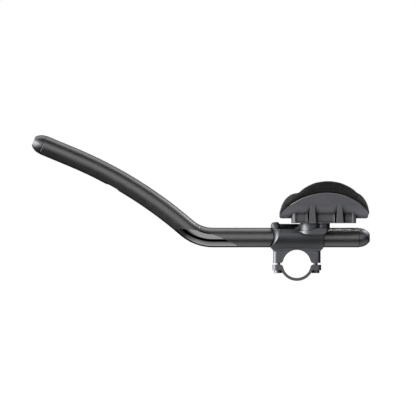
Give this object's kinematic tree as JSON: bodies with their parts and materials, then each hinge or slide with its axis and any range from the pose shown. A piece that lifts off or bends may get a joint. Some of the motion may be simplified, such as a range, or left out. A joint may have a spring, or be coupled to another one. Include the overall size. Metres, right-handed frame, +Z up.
{
  "type": "aero handlebar extension",
  "caption": "Bent extension tube held in a split clamp that bolts to a bicycle handlebar, with a padded forearm rest over the clamp and a plug in each end of the tube.",
  "frame": {"origin": "middle of the handlebar clamp, on the handlebar's axis", "axes": "+X rearward along the extension tube, +Y inboard along the handlebar, +Z up"},
  "size_m": [0.3821, 0.09, 0.1647],
  "materials": {
    "tube_anodised": "satin black anodised, with a gloss black field under the bend",
    "plug_moulded": "matt moulded",
    "clamp_anodised": "bead-blasted black anodised",
    "bolt_black": "black oxide",
    "cup_moulded": "fine moulded texture",
    "washer_steel": "bright",
    "hook_tape": "hook pile",
    "pad_cloth": "knitted face on foam"
  },
  "bodies": {
    "clamp": {"clamp_body": "clamp_anodised", "bar_clamp_cap": "clamp_anodised", "bar_bolt_front": "bolt_black", "bar_bolt_rear": "bolt_black", "pinch_bolt": "bolt_black", "armrest_cup": "cup_moulded", "armrest_bolt_front": "bolt_black", "armrest_bolt_rear": "bolt_black", "armrest_washer_front": "washer_steel", "armrest_washer_rear": "washer_steel", "hook_strip_front": "hook_tape", "hook_strip_middle": "hook_tape", "hook_strip_rear": "hook_tape", "armrest_pad": "pad_cloth"},
    "extension": {"extension_tube": "tube_anodised", "front_plug": "plug_moulded", "rear_plug": "plug_moulded"}
  },
  "joints": [
    {"name": "extension_slide", "type": "slide", "parent": "clamp", "child": "extension", "axis": [1, 0, 0], "range_m": [-0.03, 0.05]}
  ]
}
